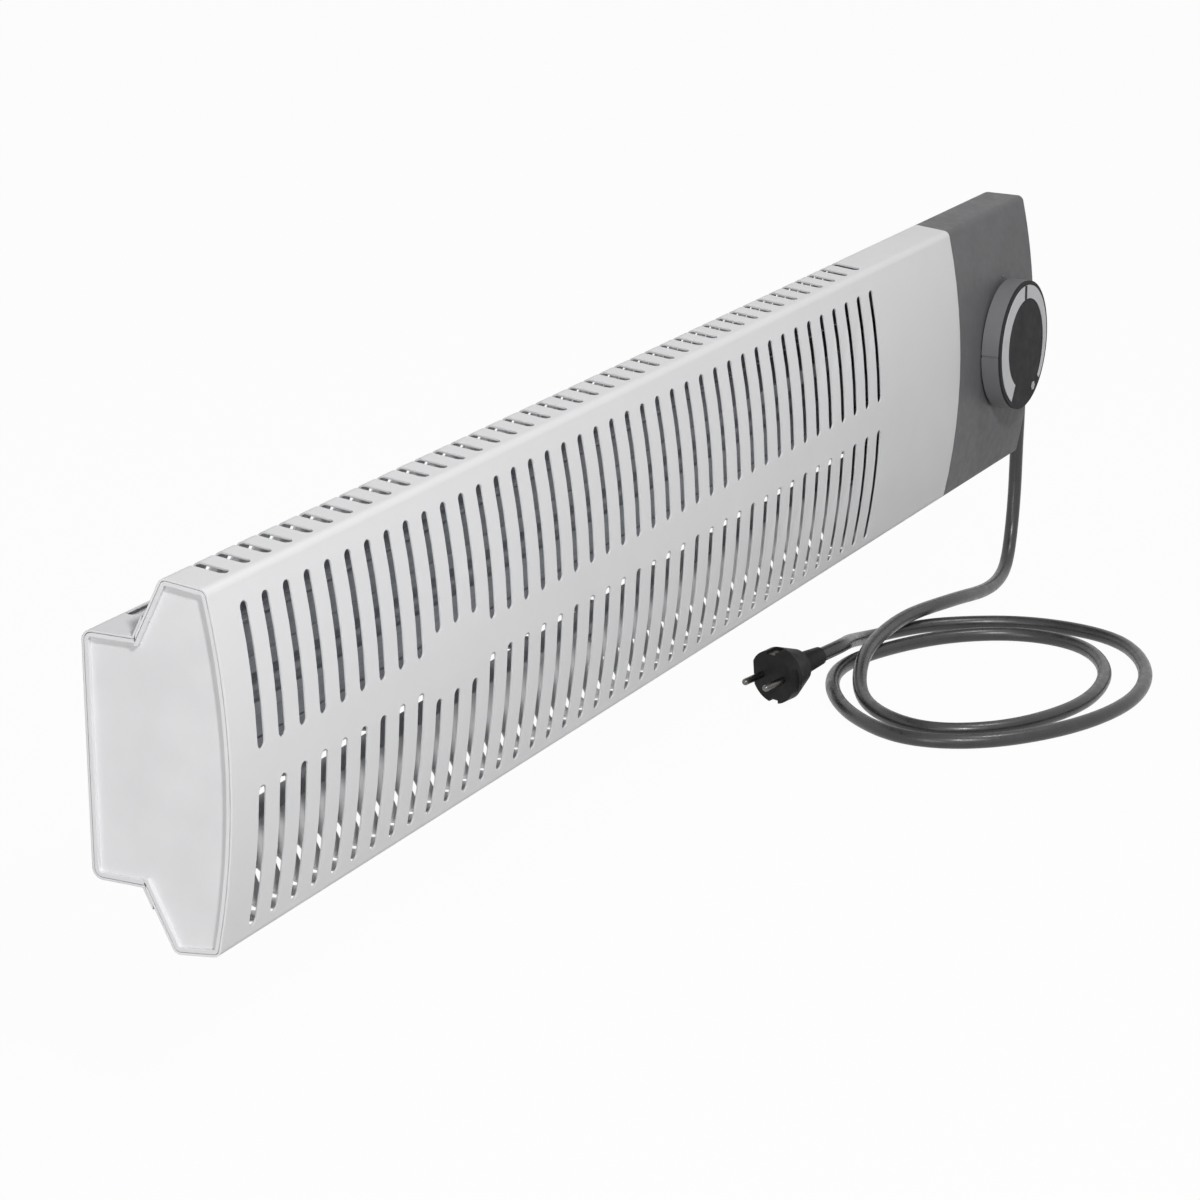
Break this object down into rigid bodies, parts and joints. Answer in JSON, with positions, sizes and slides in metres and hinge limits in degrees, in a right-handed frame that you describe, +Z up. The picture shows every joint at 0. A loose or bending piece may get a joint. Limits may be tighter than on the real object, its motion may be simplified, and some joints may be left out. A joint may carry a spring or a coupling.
{
  "type": "frost protection heater",
  "caption": "Slim wall-hung frost protection heater with a slotted bowed cover, a dark control end, a large thermostat knob and a mains lead.",
  "frame": {"origin": "midway between the two wall screws, on the wall plane at the back of the rail, at mid-height of the casing", "axes": "+X runs along the casing towards the control end, +Y points into the wall and +Z is up; the slotted front looks along -Y"},
  "size_m": [1.1644, 0.2618, 0.3052],
  "materials": {
    "cover_enamel": "semi-gloss white powder coat",
    "rear_enamel": "semi-gloss white powder coat",
    "cap_plastic": "fine satin moulding",
    "housing_plastic": "fine grained moulding",
    "zinc_sheet": "zinc-plated sheet",
    "screw_steel": "zinc-plated",
    "knob_plastic": "fine satin moulding",
    "knob_face_plastic": "fine grained",
    "scale_print": "raised inlay, satin",
    "mark_print": "raised inlay, satin",
    "spring_steel": "bright",
    "spindle_steel": "bright drawn",
    "bush_brass": "machined",
    "nut_steel": "nickel-plated",
    "thermostat_moulding": "glossy cream moulding",
    "tab_brass": "stamped",
    "index_print": "satin",
    "copper_tube": "copper, dull",
    "grommet_rubber": "matt",
    "fin_aluminium": "extruded, plain",
    "rod_steel": "oxidised",
    "ceramic": "glazed ceramic",
    "stud_steel": "nickel-plated",
    "bracket_steel": "zinc-plated sheet",
    "rivet_aluminium": "plain",
    "reflector_aluminium": "bright sheet",
    "cutout_plastic": "matt moulding",
    "block_plastic": "glossy moulding",
    "block_brass": "machined",
    "earth_brass": "stamped, tinned",
    "brown_core": "smooth insulation",
    "blue_core": "smooth insulation",
    "earth_core": "smooth insulation, green with a yellow stripe",
    "gland_plastic": "satin moulding",
    "gland_nut_plastic": "satin moulding",
    "clamp_plastic": "satin moulding",
    "cord_sheath": "matt rubber sheath",
    "rail_steel": "zinc-plated and passivated sheet",
    "spacer_rubber": "matt",
    "plug_rubber": "matt moulded rubber",
    "pin_nickel": "nickel-plated brass",
    "clip_nickel": "nickel-plated strip"
  },
  "bodies": {
    "heater": {"front_cover": "cover_enamel", "rear_casing": "rear_enamel", "left_end_cap": "cap_plastic", "control_housing": "housing_plastic", "bulkhead": "zinc_sheet", "cover_screws": "screw_steel", "housing_screws": "screw_steel", "end_cap_screws": "screw_steel", "thermostat_bush": "bush_brass", "thermostat_nut": "nut_steel", "thermostat_body": "thermostat_moulding", "thermostat_tabs": "tab_brass", "dial_index": "index_print", "sensor_bulb": "copper_tube", "capillary_tube": "copper_tube", "sensor_grommet": "grommet_rubber", "element_fins": "fin_aluminium", "element_rod": "rod_steel", "element_insulators": "ceramic", "element_studs": "stud_steel", "element_brackets": "bracket_steel", "bracket_rivets": "rivet_aluminium", "reflector": "reflector_aluminium", "reflector_rivets": "rivet_aluminium", "thermal_cutout": "cutout_plastic", "cutout_screws": "screw_steel", "terminal_block": "block_plastic", "terminal_screws": "block_brass", "earth_stud": "stud_steel", "earth_tag": "earth_brass", "earth_nut": "nut_steel", "wire_live": "brown_core", "wire_neutral": "blue_core", "wire_earth": "earth_core", "cord_gland": "gland_plastic", "gland_nut": "gland_nut_plastic", "cord_clamp": "clamp_plastic", "clamp_screws": "screw_steel", "cord_tail": "cord_sheath", "wall_rail": "rail_steel", "wall_spacers": "spacer_rubber", "power_cord": "cord_sheath", "plug_sleeve": "plug_rubber", "plug_body": "plug_rubber", "plug_pins": "pin_nickel", "plug_earth_clips": "clip_nickel"},
    "knob": {"knob_body": "knob_plastic", "knob_face": "knob_face_plastic", "scale_ring": "scale_print", "frost_mark": "mark_print", "knob_spring_clip": "spring_steel", "thermostat_spindle": "spindle_steel"}
  },
  "joints": [
    {"name": "knob_turn", "type": "hinge", "parent": "heater", "child": "knob", "pos_m": [0.49, -0.1, 0], "axis": [0, -1, 0], "range_deg": [-145, 150]}
  ]
}
